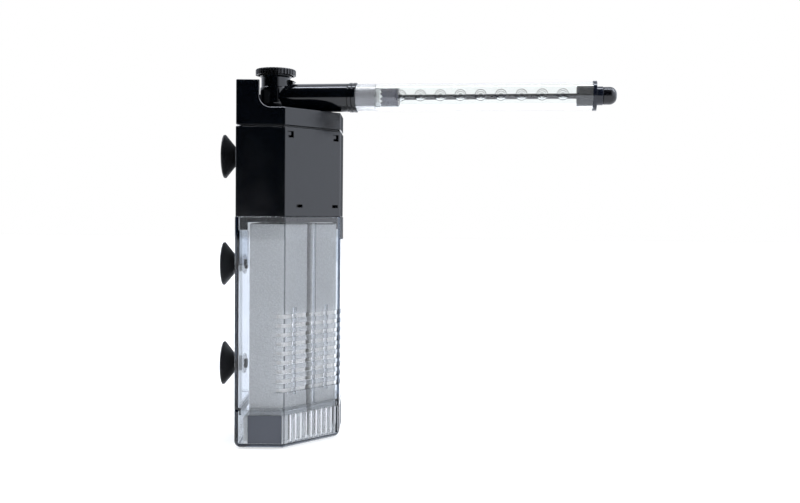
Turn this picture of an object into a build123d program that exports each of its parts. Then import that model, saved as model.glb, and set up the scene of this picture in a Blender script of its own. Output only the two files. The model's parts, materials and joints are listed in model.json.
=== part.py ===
from build123d import *
import os
from math import sqrt, sin, cos, asin, pi

# Internal corner filter for an aquarium: clear canister, motor head, swivelling outlet
# and spray bar.  Millimetres, +Z up.  The body stands on Z=0 and its square plan is
# centred on the Z axis; the tank corner is at -X, +Y and the chamfered corner at +X, -Y.

# Body plan
SIDE = 59.0              # square that the body fits in
SHORT_FACE = 29.0        # width of the two faces beside the chamfer
CORNER_R = 1.6           # radius of the vertical corners
WALL = 2.2               # wall of every moulded shell
BASE_H = 22.4            # intake base
CANISTER_H = 112.4       # clear canister
HOUSING_H = 51.8         # motor housing
COVER_H = 10.4           # pump cover, up to its deck
PARAPET_H = 15.4         # raised wall on the cover
HEAD_STEP = 0.3          # the head is this much smaller than the canister all round
COVER_STEP = 0.15        # the cover is this much smaller than the housing
SEAM = 0.6               # open seam between housing and cover
SEAM_BEVEL = 0.5         # bevel on both sides of the seam
EDGE = 0.35              # bevel on the outer edges of the mouldings
FIT = 0.15               # clearance of parts that plug together
RUN = 0.06               # radial clearance of turning parts
SEAT = 0.3               # clearance of loose and soft parts
JOIN = 0.5               # overlap of the shapes that make up one piece

# Intake base
FLOOR = 3.0
BOTTOM_R = 4.5           # rounded bottom edges on the two tank-wall sides
LIP = 1.2                # thickness of the lips that plug into the next part
LIP_H = 3.0
GRILLE_N = 10
GRILLE_FIRST = 5.0       # first slot's centre from the left end of the chamfer
GRILLE_PITCH = 3.93
GRILLE_W = 2.35
GRILLE_Z = 3.2
GRILLE_H = 16.4
PANEL_MARGIN = 1.4       # recessed panel on each short face
PANEL_DEPTH = 0.5

# Canister
SLOT_N = 9
SLOT_FIRST = 11.76       # first slot's centre above the canister's lower edge
SLOT_PITCH = 5.372
SLOT_H = 2.6
SLOT_REACH = 7.0         # how far the slots run on past the chamfer
RIB_W = 1.2
RIB_DEPTH = 1.6
RIB_AT = 2.6             # tall rib, from the chamfer's centre
SIDE_RIB_OFFSET = 12.1
SIDE_RIB_H = 51.0
SIDE_RIB_LIFT = 8.6
CHANNEL = 7.9            # foam-free strip along each tank wall
FOOT_CHANNEL = 4.4       # the same strip inside the base
FOOT_DROP = 3.8          # the foam's wider foot ends this far below the base's top
KEEPER = 7.2             # corner blocks that hold the head's tongues
KEEPER_H = 20.0
TONGUE_H = 7.8
SKIRT_H = 3.3
SKIRT_T = 1.6

# Riser tube and foam
RISER_R = 9.0
RISER_WALL = 1.4
RISER_HOLE_R = 2.5
RISER_HOLE_PITCH = 12.0
RISER_HOLE_ROWS = 8
RISER_HOLE_FIRST = 14.0
RISER_OVERLAP = 5.0      # the head's spigot reaches this far into the riser
FOAM_SPLIT = 2.2         # gap between the foam halves

# Suction cups
CUP_R = 13.0
CUP_STAND = 11.5
CUP_BOWL = 3.4
CUP_STEM_R = 4.5
CUP_NECK = 4.6
CUP_WAIST_R = 6.4
CUP_LIP_T = 0.7
CUP_FOOT_R = 6.0
CUP_FOOT_T = 1.0
CUP_PIN_R = 2.5
CUP_HEAD_R = 2.9
CUP_HEAD_T = 0.6
LOW_CUP_RISE = 23.0              # lower cups above the canister's lower edge
HIGH_CUP_DROP = 28.9             # upper cups below the canister's upper edge
HEAD_CUP = 35.8                  # height of the head's cups above its lower edge

# Pump
ROTOR_AT = -2.3          # rotor axis, along the diagonal from the body's centre
MAGNET_LIFT = 5.0        # magnet's foot above the impeller's disc
SHAFT_R = 1.25
MAGNET_R = 7.0
MAGNET_H = 25.6
MAGNET_GAP = 0.8         # water gap between magnet and well
WELL_WALL = 1.4
WELL_H = 30.0
WELL_TOP = 1.5
PARTITION = 2.0
CHAMBER_H = 12.2         # wet chamber below the partition
IMPELLER_R = 11.0
IMPELLER_H = 7.6
IMPELLER_DISC = 1.4
IMPELLER_HUB_R = 3.0
BLADE_T = 1.2
BLADE_N = 6
BLADE_TIP = 0.4          # blades end this far inside the disc's rim
VOLUTE_GAP = 1.5
VOLUTE_WALL = 1.5
VOLUTE_FLOOR = 1.8
EYE_R = 6.0
HUB_R = 3.2
BUSH_R = 2.2
BUSH_H = 3.0
SPOKE_W = 1.4
GASKET_T = 0.8
DUCT_R = 8.0
DUCT_BORE_R = 6.2
DUCT_SHORT = 3.0         # the duct stops this far below the housing's top edge

# Stator
CORE_LIFT = 3.0          # core above the dry chamber's floor
CORE_REACH = 22.4
CORE_BACK = 8.5
LEG_W = 7.5
LEG_GAP = 6.0
CORE_H = 17.0
YOKE = 4.0
COIL_T = 2.5
COIL_L = 7.0
COIL_OFF = 10.6
POT_H = 24.0             # resin that seals the stator in

# Cover
DECK_T = 2.5
PARAPET_T = 2.2
STUB_LEN = 13.7          # raised wall on the near face, from the left edge
STUB_R = 6.6             # hollow curve where it runs down to the deck
HOOK_W = 3.2
HOOK_T = 1.2
HOOK_DROP = 6.6
BARB = 1.1
BARB_H = 2.0
WINDOW_W = 4.4
WINDOW_H = 3.8
WINDOW_DROP = 2.5
WINDOW_EDGE = 4.0        # window centre from the end of the chamfer
VENT_W = 4.4
VENT_H = 1.8
VENT_RISE = 5.4
VENT_OFFSETS = (-10.4, 17.0)     # two lower slots, from the chamfer's centre
SOCKET_WALL = 2.0
SOCKET_DROP = 5.0
GLAND_AT = 32.0          # cable gland, along the diagonal from the body's centre
GLAND_R = 4.0
GLAND_NECK_R = 3.4
GLAND_RISE = 5.0
CABLE_R = 2.6
RELIEF_R = 3.6
RELIEF_TIP_R = 3.1
RELIEF_H = 8.0

# Outlet elbow and flow control
WALL_TO_PIVOT = 17.9     # pivot of the outlet from each tank wall
SWIVEL_AT_REST = 8.7     # the bar stands this many degrees off the back wall
PIPE_R = 8.5
PIPE_BORE_R = 6.2
PIPE_LIFT = 1.2          # pipe above the deck
PIPE_END = 45.8
SPIGOT_R = 7.5
SPIGOT_DROP = 10.4
SPIGOT_BORE_R = 5.9
SEAL_R = 0.55
SEAL_SQUEEZE = 1.2
BARREL_R = 9.5
BARREL_TOP = 6.5         # barrel's shoulder above the pipe's axis
BARREL_BOWL = 6.0
BARREL_EASE = 1.0
NECK_R = 8.8
NECK_TOP = 13.4          # neck's top above the pipe's axis
NECK_RIM_R = 9.8
NECK_RIM_T = 1.3
RING_R = 8.9
RING_W = 1.5
RING_GROOVE = 1.0
RING_NECK_R = 7.5
TAB_REACH = 3.4
TAB_H = 3.0
TAB_W = 5.0
TAB_SINK = 0.6           # tab starts this far below the pipe's top
TAB_ROOT = 1.5           # and this far inside the neck
TAB_FLAT = 0.85          # flat top of the tab, outside the neck
TAB_TIP_H = 2.15
TAB_FOOT = 1.35
STEM_R = 2.4
VANE_T = 1.0
VANE_TOP = 6.0
KNOB_R = 12.25
KNOB_H = 3.6
KNOB_EASE = 0.8
KNOB_NOTCHES = 36
NOTCH_W = 0.95
NOTCH_DEPTH = 0.5
KNOB_HOLLOW = 2.5
KNOB_SKIN = 1.5
ADAPTER_R = 5.25
ADAPTER_BORE_R = 4.2
ADAPTER_GRIP = 9.0       # length of the adapter inside the elbow
ADAPTER_REACH = 11.6     # length of the adapter outside the elbow

# Spray bar, with lengths along the bar
TUBE_R = 8.0
TUBE_BORE_R = 6.1
COLLAR_L = 11.8
COLLAR_STEP = 0.05       # the collar is this much larger than the tube
NOSE_L = 2.6
TUBE_L = 128.2
NOZZLE_N = 9
NOZZLE_FIRST = 15.9      # first nozzle from the tube's near end
NOZZLE_PITCH = 11.865
NOZZLE_R = 3.35
NOZZLE_RISE = 0.9
NOZZLE_RIM_R = 2.2
NOZZLE_RIM_DEPTH = 0.9
JET_R = 1.2
PLUG_L = 9.3
FLANGE_R = 8.7
FLANGE_L = 2.2
PLUG_NECK_R = 5.45
PLUG_NECK_L = 3.6
ROD_R = 1.6
SHUTTLE_R = 5.5
SHUTTLE_L = 11.0
SHUTTLE_WALL = 1.2
TEETH = 12
TOOTH_L = 1.9
END_R = 5.15
END_L = 7.7
END_DOME = 4.2
END_GRIP = 4.5

# Places worked out from the sizes above
HALF = SIDE / 2
ROOT2 = sqrt(2)
CHAMFER = (SIDE - SHORT_FACE) * ROOT2
CHAMFER_AT = -SHORT_FACE / ROOT2
Z_JOINT = BASE_H + CANISTER_H
Z_PARTITION = Z_JOINT + CHAMBER_H
Z_DRY = Z_PARTITION + PARTITION
Z_HOUSING = Z_JOINT + HOUSING_H
Z_COVER = Z_HOUSING + SEAM
Z_DECK = Z_COVER + COVER_H
Z_PARAPET = Z_DECK + PARAPET_H
Z_BAR = Z_DECK + PIPE_LIFT + PIPE_R
Z_NECK = Z_BAR + NECK_TOP
HEAD_IN = HEAD_STEP + WALL
COVER_IN = HEAD_STEP + COVER_STEP
PIVOT = HALF - WALL_TO_PIVOT
CANISTER_CUPS = (BASE_H + LOW_CUP_RISE, Z_JOINT - HIGH_CUP_DROP)
DUCT_AT = PIVOT * ROOT2
WELL_R = MAGNET_R + MAGNET_GAP
WELL_OUT_R = WELL_R + WELL_WALL
FOAM_IN = WALL + RIB_DEPTH + SEAT
VOLUTE_R = IMPELLER_R + VOLUTE_GAP
SPIGOT_IN_R = RISER_R - RISER_WALL - RUN
Z_SPIGOT = Z_JOINT - RISER_OVERLAP
RING_START = PIPE_END + RING_GROOVE
ELBOW_END = RING_START + 2 * RING_W + RING_GROOVE
COLLAR_START = ELBOW_END + SEAT
TUBE_START = COLLAR_START + COLLAR_L
TUBE_END = TUBE_START + TUBE_L
SHUTTLE_START = TUBE_START + NOSE_L + SEAT
NECK_END = TUBE_END + FLANGE_L + PLUG_NECK_L
END_START = NECK_END + SEAT


def plan(inset, radius):
    """Pentagon of the body, moved in by inset, with rounded corners."""
    half = HALF - inset
    cut = SHORT_FACE - inset * ROOT2
    corners = [(-half, -half), (cut - half, -half), (half, half - cut), (half, half), (-half, half)]
    sketch = make_face(Polyline(*corners, close=True))
    return fillet(sketch.vertices(), radius) if radius > 0 else sketch


def prism(inset, bottom, top):
    radius = max(CORNER_R - inset, 0.4)
    return extrude(Pos(0, 0, bottom) * plan(inset, radius), top - bottom)


def shell_ring(outer, inner, bottom, top):
    return prism(outer, bottom, top) - prism(inner, bottom - 1, top + 1)


def block(x0, x1, y0, y1, z0, z1):
    return Pos((x0 + x1) / 2, (y0 + y1) / 2, (z0 + z1) / 2) * Box(x1 - x0, y1 - y0, z1 - z0)


def post(radius, bottom, top, x=0.0, y=0.0):
    return Pos(x, y, (bottom + top) / 2) * Cylinder(radius, top - bottom)


def rod_x(radius, start, end, y=0.0, z=0.0):
    return Pos((start + end) / 2, y, z) * Rot(0, 90, 0) * Cylinder(radius, end - start)


def diagonal(shape):
    """Turn a shape whose +Y points at the tank corner into its place on the body."""
    return Rot(0, 0, 45) * shape


def on_bar(shape):
    """Turn a shape whose +X runs along the bar, from the pivot, into its rest pose."""
    return Pos(-PIVOT, PIVOT, 0) * Rot(0, 0, -SWIVEL_AT_REST) * shape


def one(shape):
    """The single solid of a finished piece."""
    solids = shape.solids()
    assert len(solids) == 1, len(solids)
    return solids[0]


def cup_hole(height):
    hole = Rot(0, 90, 0) * Cylinder(CUP_PIN_R + FIT, 3 * CUP_STAND)
    left = Pos(-HALF, 0, height) * hole
    back = Pos(0, HALF, height) * Rot(0, 0, 90) * hole
    return left + back


def intake_base():
    body = prism(0, 0, BASE_H)
    low = body.edges().group_by(Axis.Z)[0]
    on_walls = [e for e in low if e.center().X < CORNER_R - HALF or e.center().Y > HALF - CORNER_R]
    body = fillet(on_walls, BOTTOM_R)
    body = chamfer(body.edges().group_by(Axis.Z)[-1], EDGE)
    body -= prism(WALL, FLOOR, BASE_H + 1)
    for i in range(GRILLE_N):
        at = GRILLE_FIRST + i * GRILLE_PITCH - CHAMFER / 2
        slot = block(at - GRILLE_W / 2, at + GRILLE_W / 2, CHAMFER_AT - 1, CHAMFER_AT + WALL + 1,
                     GRILLE_Z, GRILLE_Z + GRILLE_H)
        body -= diagonal(slot)
    near = block(-HALF + CHANNEL, -HALF + SHORT_FACE - PANEL_MARGIN, -HALF - 1, -HALF + PANEL_DEPTH,
                 GRILLE_Z, GRILLE_Z + GRILLE_H)
    body -= near
    body -= mirror(near, Plane(origin=(0, 0, 0), z_dir=(1, 1, 0)))
    body += diagonal(post(RISER_R - RISER_WALL - FIT, FLOOR - JOIN, FLOOR + LIP_H, 0, ROTOR_AT))
    return one(body)


def corner_pair(z0, z1, size):
    """Boxes in the two corners where a short face meets a tank wall."""
    near = block(-HALF, -HALF + size, -HALF, -HALF + size, z0, z1)
    far = block(HALF - size, HALF, HALF - size, HALF, z0, z1)
    return near, far


def canister_shell():
    body = prism(0, BASE_H, Z_JOINT)
    body = chamfer(body.edges().group_by(Axis.Z)[0] + body.edges().group_by(Axis.Z)[-1], EDGE)
    body -= prism(WALL, BASE_H - 1, Z_JOINT + 1)
    for i in range(SLOT_N):
        z = BASE_H + SLOT_FIRST + i * SLOT_PITCH
        reach = CHAMFER_AT + SLOT_REACH / ROOT2
        body -= diagonal(block(-SIDE, SIDE, CHAMFER_AT - SIDE, reach, z - SLOT_H / 2, z + SLOT_H / 2))
    body += shell_ring(WALL / 2, WALL + FIT + LIP, BASE_H, BASE_H + LIP)
    body += shell_ring(WALL + FIT, WALL + FIT + LIP, BASE_H - LIP_H, BASE_H + LIP / 2)
    inside = CHAMFER_AT + WALL
    rib_foot = BASE_H + LIP / 2
    body += diagonal(block(RIB_AT - RIB_W / 2, RIB_AT + RIB_W / 2, inside - WALL / 4, inside + RIB_DEPTH,
                           rib_foot, Z_JOINT - SKIRT_H - SEAT))
    for side in (-1, 1):
        at = side * SIDE_RIB_OFFSET
        body += diagonal(block(at - RIB_W / 2, at + RIB_W / 2, inside - WALL / 4, inside + RIB_DEPTH,
                               BASE_H + SIDE_RIB_LIFT, BASE_H + SIDE_RIB_LIFT + SIDE_RIB_H))
    top = Z_JOINT - TONGUE_H - SEAT
    for keeper in corner_pair(top - KEEPER_H, top, KEEPER):
        body += keeper & prism(WALL / 2, top - KEEPER_H, top)
    for height in CANISTER_CUPS:
        body -= cup_hole(height)
    return one(body)


def foam_half(side):
    top = Z_JOINT - SKIRT_H - SEAT
    body = prism(FOAM_IN, FLOOR + SEAT, top)
    foot_top = BASE_H - FOOT_DROP
    foot = block(-HALF + FOOT_CHANNEL, HALF, -HALF, HALF - FOOT_CHANNEL, 0, foot_top)
    body &= foot + block(-HALF + CHANNEL, HALF, -HALF, HALF - CHANNEL, 0, top)
    body -= diagonal(post(RISER_R + SEAT, 0, top + 1, 0, ROTOR_AT))
    start = FOAM_SPLIT / 2 if side > 0 else -SIDE
    end = SIDE if side > 0 else -FOAM_SPLIT / 2
    body &= diagonal(block(start, end, -SIDE, SIDE, 0, top))
    return one(body)


def riser_tube():
    body = post(RISER_R, FLOOR, Z_JOINT - SEAT) - post(RISER_R - RISER_WALL, FLOOR - 1, Z_JOINT)
    for row in range(RISER_HOLE_ROWS):
        z = FLOOR + RISER_HOLE_FIRST + row * RISER_HOLE_PITCH
        hole = Rot(0, 90, 0) * Cylinder(RISER_HOLE_R, 3 * RISER_R)
        body -= Pos(0, 0, z) * (hole + Rot(0, 0, 90) * hole)
    return one(diagonal(Pos(0, ROTOR_AT, 0) * body))


def suction_cup():
    """Cup that points along -X from a wall face at X=0."""
    rim_r = CUP_R - CUP_LIP_T
    bowl_r = (rim_r ** 2 + CUP_BOWL ** 2) / (2 * CUP_BOWL)
    half_turn = asin(rim_r / bowl_r) / 2
    centre = CUP_STAND - CUP_BOWL + bowl_r
    middle = (bowl_r * sin(half_turn), centre - bowl_r * cos(half_turn))
    tip = (0, CUP_STAND - CUP_BOWL)
    back = -WALL - FIT
    edge = Polyline(tip, (0, back - CUP_HEAD_T), (CUP_HEAD_R, back - CUP_HEAD_T), (CUP_HEAD_R, back),
                    (CUP_PIN_R, back), (CUP_PIN_R, 0), (CUP_FOOT_R, 0), (CUP_FOOT_R, CUP_FOOT_T),
                    (CUP_STEM_R, CUP_FOOT_T + CUP_LIP_T), (CUP_STEM_R, CUP_NECK),
                    (CUP_WAIST_R, CUP_NECK + CUP_LIP_T), (CUP_R, CUP_STAND - CUP_LIP_T),
                    (CUP_R, CUP_STAND), (rim_r, CUP_STAND))
    bowl = ThreePointArc((rim_r, CUP_STAND), middle, tip)
    profile = make_face([*edge.edges(), *bowl.edges()])
    return Rot(0, -90, 0) * revolve(Plane.XZ * profile, Axis.Z)


def left_cup(height, inset):
    return one(Pos(-HALF + inset, 0, height) * suction_cup())


def back_cup(height, inset):
    return one(Pos(0, HALF - inset, height) * Rot(0, 0, -90) * suction_cup())


def motor_housing():
    body = prism(HEAD_STEP, Z_JOINT, Z_HOUSING)
    body = chamfer(body.edges().group_by(Axis.Z)[-1], SEAM_BEVEL)
    body = chamfer(body.edges().group_by(Axis.Z)[0], EDGE)
    body -= prism(HEAD_IN, Z_DRY, Z_HOUSING + 1)
    body -= prism(HEAD_IN, Z_JOINT - 1, Z_PARTITION)
    skirt_in = WALL + FIT + SKIRT_T
    body += shell_ring(HEAD_STEP + EDGE, skirt_in, Z_JOINT, Z_JOINT + SKIRT_T)
    body += shell_ring(WALL + FIT, skirt_in, Z_JOINT - SKIRT_H, Z_JOINT + SKIRT_T / 2)
    tongues = shell_ring(WALL + FIT, skirt_in, Z_JOINT - TONGUE_H, Z_JOINT)
    for corner in corner_pair(Z_JOINT - TONGUE_H, Z_JOINT, KEEPER):
        body += tongues & corner
    body += diagonal(post(WELL_OUT_R, Z_PARTITION, Z_DRY + WELL_H + WELL_TOP, 0, ROTOR_AT))
    body -= diagonal(post(WELL_R, Z_PARTITION - 1, Z_DRY + WELL_H, 0, ROTOR_AT))
    body += diagonal(post(DUCT_R, Z_PARTITION, Z_HOUSING - DUCT_SHORT, 0, DUCT_AT))
    body -= diagonal(post(DUCT_BORE_R, Z_PARTITION - 1, Z_HOUSING, 0, DUCT_AT))
    for side in (-1, 1):
        at = side * (CHAMFER / 2 - WINDOW_EDGE)
        body -= diagonal(block(at - WINDOW_W / 2, at + WINDOW_W / 2, CHAMFER_AT - 1, CHAMFER_AT + HEAD_IN + 1,
                               Z_HOUSING - WINDOW_DROP - WINDOW_H, Z_HOUSING - WINDOW_DROP))
    for at in VENT_OFFSETS:
        body -= diagonal(block(at - VENT_W / 2, at + VENT_W / 2, CHAMFER_AT - 1, CHAMFER_AT + HEAD_IN + 1,
                               Z_JOINT + VENT_RISE, Z_JOINT + VENT_RISE + VENT_H))
    body -= cup_hole(Z_JOINT + HEAD_CUP)
    return one(body)


def hook(side):
    """Snap hook of the cover, inside the chamfer wall, with its barb in the window."""
    at = side * (CHAMFER / 2 - WINDOW_EDGE)
    wall = CHAMFER_AT + HEAD_IN + FIT
    foot = Z_HOUSING - HOOK_DROP
    leg = block(at - HOOK_W / 2, at + HOOK_W / 2, wall, wall + HOOK_T, foot, Z_COVER + DECK_T)
    barb = block(at - HOOK_W / 2, at + HOOK_W / 2, wall - BARB, wall + HOOK_T,
                 Z_HOUSING - WINDOW_DROP - SEAT - BARB_H, Z_HOUSING - WINDOW_DROP - SEAT)
    return diagonal(leg + barb)


def pump_cover():
    inner = HEAD_IN + FIT + LIP
    body = prism(COVER_IN, Z_COVER, Z_DECK)
    body = chamfer(body.edges().group_by(Axis.Z)[0], SEAM_BEVEL)
    body = chamfer(body.edges().group_by(Axis.Z)[-1], EDGE)
    body -= prism(inner, Z_COVER - 1, Z_DECK - DECK_T)
    body += shell_ring(HEAD_IN + FIT, inner, Z_HOUSING - LIP_H, Z_COVER + SEAM_BEVEL)
    edge = -HALF + COVER_IN
    reach = -HALF + STUB_LEN
    root = Z_DECK - DECK_T / 2
    outline = Polyline((reach + STUB_R, Z_DECK), (reach + STUB_R, root), (edge, root),
                       (edge, Z_PARAPET), (reach, Z_PARAPET), (reach, Z_DECK + STUB_R))
    curve = RadiusArc((reach, Z_DECK + STUB_R), (reach + STUB_R, Z_DECK), -STUB_R)
    face = make_face(Wire([*outline.edges(), *curve.edges()]))
    stub = extrude(Plane(origin=(0, edge, 0), x_dir=(1, 0, 0), z_dir=(0, -1, 0)) * face, -PARAPET_T)
    side = block(edge, edge + PARAPET_T, edge, -edge, root, Z_PARAPET)
    tall = chamfer(prism(COVER_IN, Z_COVER, Z_PARAPET).edges().group_by(Axis.Z)[-1], EDGE)
    near = stub.edges().group_by(Axis.Y)[0]
    front = [e for e in near if e.center().X > reach - EDGE and e.center().Z > Z_DECK]
    body += (chamfer(front, EDGE) + side) & tall
    socket_r = SPIGOT_R + RUN
    body += diagonal(post(DUCT_R + FIT + SOCKET_WALL, Z_HOUSING - SOCKET_DROP, Z_DECK, 0, DUCT_AT))
    body -= diagonal(post(DUCT_R + FIT, Z_HOUSING - SOCKET_DROP - 1, Z_HOUSING - DUCT_SHORT + FIT, 0, DUCT_AT))
    body -= diagonal(post(socket_r, Z_HOUSING - SOCKET_DROP, Z_DECK + 1, 0, DUCT_AT))
    body -= diagonal(post(GLAND_NECK_R, Z_COVER, Z_DECK + 1, 0, GLAND_AT))
    for side_sign in (-1, 1):
        body += hook(side_sign)
    return one(body)


def volute_housing():
    top = Z_PARTITION - GASKET_T
    floor = Z_JOINT + FIT

    def outline(grow, z0, z1):
        shape = post(VOLUTE_R + grow, z0, z1, 0, ROTOR_AT) + post(DUCT_BORE_R + grow, z0, z1, 0, DUCT_AT)
        half = DUCT_BORE_R + grow
        return shape + block(-half, half, ROTOR_AT, DUCT_AT, z0, z1)

    body = outline(VOLUTE_WALL, floor, top) - outline(0, floor + VOLUTE_FLOOR, top + 1)
    body += post(SPIGOT_IN_R, Z_SPIGOT, floor + JOIN, 0, ROTOR_AT)
    body -= post(EYE_R, Z_SPIGOT - 1, floor + VOLUTE_FLOOR + 1, 0, ROTOR_AT)
    hub_top = floor + VOLUTE_FLOOR
    body += post(HUB_R, hub_top - BUSH_H - 1, hub_top, 0, ROTOR_AT)
    half, reach = SPOKE_W / 2, EYE_R + JOIN
    body += block(-reach, reach, ROTOR_AT - half, ROTOR_AT + half, hub_top - BUSH_H, hub_top)
    body += block(-half, half, ROTOR_AT - reach, ROTOR_AT + reach, hub_top - BUSH_H, hub_top)
    body -= post(BUSH_R, hub_top - BUSH_H, hub_top + 1, 0, ROTOR_AT)
    return one(diagonal(body))


def chamber_gasket():
    z0 = Z_PARTITION - GASKET_T
    inner = post(VOLUTE_R, z0 - 1, Z_PARTITION + 1, 0, ROTOR_AT)
    inner += post(DUCT_BORE_R, z0 - 1, Z_PARTITION + 1, 0, DUCT_AT)
    inner += block(-DUCT_BORE_R, DUCT_BORE_R, ROTOR_AT, DUCT_AT, z0 - 1, Z_PARTITION + 1)
    grow = VOLUTE_WALL
    outer = post(VOLUTE_R + grow, z0, Z_PARTITION, 0, ROTOR_AT)
    outer += post(DUCT_BORE_R + grow, z0, Z_PARTITION, 0, DUCT_AT)
    outer += block(-DUCT_BORE_R - grow, DUCT_BORE_R + grow, ROTOR_AT, DUCT_AT, z0, Z_PARTITION)
    return one(diagonal(outer - inner))


def bearing_levels():
    """Top of the lower bush, foot of the upper bush."""
    return Z_JOINT + FIT + VOLUTE_FLOOR, Z_DRY + WELL_H - BUSH_H


def rotor_shaft():
    low, high = bearing_levels()
    return one(diagonal(post(SHAFT_R, low - BUSH_H + JOIN, high + BUSH_H - JOIN, 0, ROTOR_AT)))


def lower_bearing():
    low, _ = bearing_levels()
    ring = post(BUSH_R, low - BUSH_H, low) - post(SHAFT_R, low - BUSH_H + JOIN, low + 1)
    return one(diagonal(Pos(0, ROTOR_AT, 0) * ring))


def upper_bearing():
    _, high = bearing_levels()
    ring = post(WELL_R - RUN, high, high + BUSH_H) - post(SHAFT_R, high - 1, high + BUSH_H - JOIN)
    return one(diagonal(Pos(0, ROTOR_AT, 0) * ring))


def rotor_levels():
    """Foot of the impeller, joint of impeller and magnet."""
    low, _ = bearing_levels()
    foot = low + SEAT
    return foot, foot + IMPELLER_H + MAGNET_LIFT


def rotor_magnet():
    _, joint = rotor_levels()
    body = post(MAGNET_R, joint, joint + MAGNET_H) - post(SHAFT_R + RUN, joint - 1, joint + MAGNET_H + 1)
    return one(diagonal(Pos(0, ROTOR_AT, 0) * body))


def impeller():
    foot, joint = rotor_levels()
    disc_z = foot + IMPELLER_H
    body = post(IMPELLER_HUB_R, foot, joint) + post(IMPELLER_R, disc_z - IMPELLER_DISC, disc_z)
    for turn in range(BLADE_N):
        blade = block(IMPELLER_HUB_R - JOIN, IMPELLER_R - BLADE_TIP, -BLADE_T / 2, BLADE_T / 2,
                      foot + SEAT, disc_z - IMPELLER_DISC / 2)
        body += Rot(0, 0, turn * 360 / BLADE_N) * blade
    body -= post(SHAFT_R + RUN, foot - 1, joint + 1)
    return one(diagonal(Pos(0, ROTOR_AT, 0) * body))


def core_levels():
    foot = Z_DRY + CORE_LIFT
    return foot, foot + CORE_H


def stator_core():
    z0, z1 = core_levels()
    half = LEG_GAP / 2 + LEG_W
    body = block(-CORE_BACK, CORE_REACH, ROTOR_AT - half, ROTOR_AT + half, z0, z1)
    body -= block(-SIDE, CORE_REACH - YOKE, ROTOR_AT - LEG_GAP / 2, ROTOR_AT + LEG_GAP / 2, z0 - 1, z1 + 1)
    body -= post(WELL_OUT_R + FIT, z0 - 1, z1 + 1, 0, ROTOR_AT)
    return one(diagonal(body))


def coil(side):
    z0, z1 = core_levels()
    centre = ROTOR_AT + side * (LEG_GAP + LEG_W) / 2
    half = LEG_W / 2
    outer = block(COIL_OFF, COIL_OFF + COIL_L, centre - half - COIL_T, centre + half + COIL_T,
                  z0 - COIL_T, z1 + COIL_T)
    hole = block(COIL_OFF - 1, COIL_OFF + COIL_L + 1, centre - half - RUN, centre + half + RUN,
                 z0 - RUN, z1 + RUN)
    return one(diagonal(outer - hole))


def potting_block():
    body = prism(HEAD_IN + RUN, Z_DRY, Z_DRY + POT_H)
    body -= diagonal(post(WELL_OUT_R + RUN, Z_DRY - 1, Z_DRY + POT_H + 1, 0, ROTOR_AT))
    body -= diagonal(post(DUCT_R + RUN, Z_DRY - 1, Z_DRY + POT_H + 1, 0, DUCT_AT))
    z0, z1 = core_levels()
    half = LEG_GAP / 2 + LEG_W + COIL_T
    body -= diagonal(block(-CORE_BACK - RUN, CORE_REACH + RUN, ROTOR_AT - half - RUN, ROTOR_AT + half + RUN,
                           z0 - COIL_T - RUN, z1 + COIL_T + RUN))
    pin = Rot(0, 90, 0) * Cylinder(CUP_HEAD_R + FIT, 2 * (HEAD_IN + CUP_HEAD_T + WALL))
    body -= Pos(-HALF, 0, Z_JOINT + HEAD_CUP) * pin
    body -= Pos(0, HALF, Z_JOINT + HEAD_CUP) * Rot(0, 0, 90) * pin
    return one(body)


def cable_gland():
    neck_r = GLAND_NECK_R - RUN
    body = post(GLAND_R, Z_DECK, Z_DECK + GLAND_RISE) + post(neck_r, Z_DECK - DECK_T - LIP, Z_DECK + JOIN)
    body -= post(CABLE_R, Z_DECK - DECK_T - LIP - 1, Z_DECK + GLAND_RISE + 1)
    return one(diagonal(Pos(0, GLAND_AT, 0) * body))


def strain_relief():
    z0 = Z_DECK + GLAND_RISE
    body = Pos(0, 0, z0 + RELIEF_H / 2) * Cone(RELIEF_R, RELIEF_TIP_R, RELIEF_H)
    body -= post(CABLE_R, z0 - 1, z0 + RELIEF_H + 1)
    return one(diagonal(Pos(0, GLAND_AT, 0) * body))


def seal_level():
    return Z_DECK - SPIGOT_DROP / 2


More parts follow.
